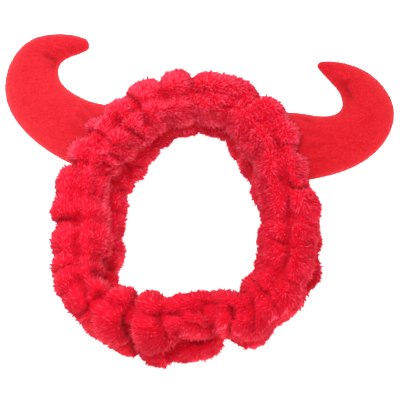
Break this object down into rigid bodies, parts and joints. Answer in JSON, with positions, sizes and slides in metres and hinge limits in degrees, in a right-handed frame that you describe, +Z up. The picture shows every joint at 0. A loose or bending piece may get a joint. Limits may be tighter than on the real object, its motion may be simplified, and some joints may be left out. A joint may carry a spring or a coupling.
{
  "type": "devil horns headband",
  "caption": "Soft costume and face-washing headband: a gathered deep-pile fleece loop with stuffed velour devil horns that curve inwards, sewn to its outer side.",
  "frame": {"origin": "on the table, under the middle of the box round the whole headband", "axes": "+Z up along the loop's axis, +Y from the nape side to the side with the horns, +X towards the right horn"},
  "size_m": [0.2642, 0.2358, 0.0532],
  "materials": {
    "crimson_fleece": "deep-pile coral fleece, matt, lighter at the tips of the pile",
    "scarlet_velour": "short-pile velour, matt with a soft nap"
  },
  "bodies": {
    "root": {"gathered_band": "crimson_fleece", "left_horn": "scarlet_velour", "right_horn": "scarlet_velour"}
  },
  "joints": []
}
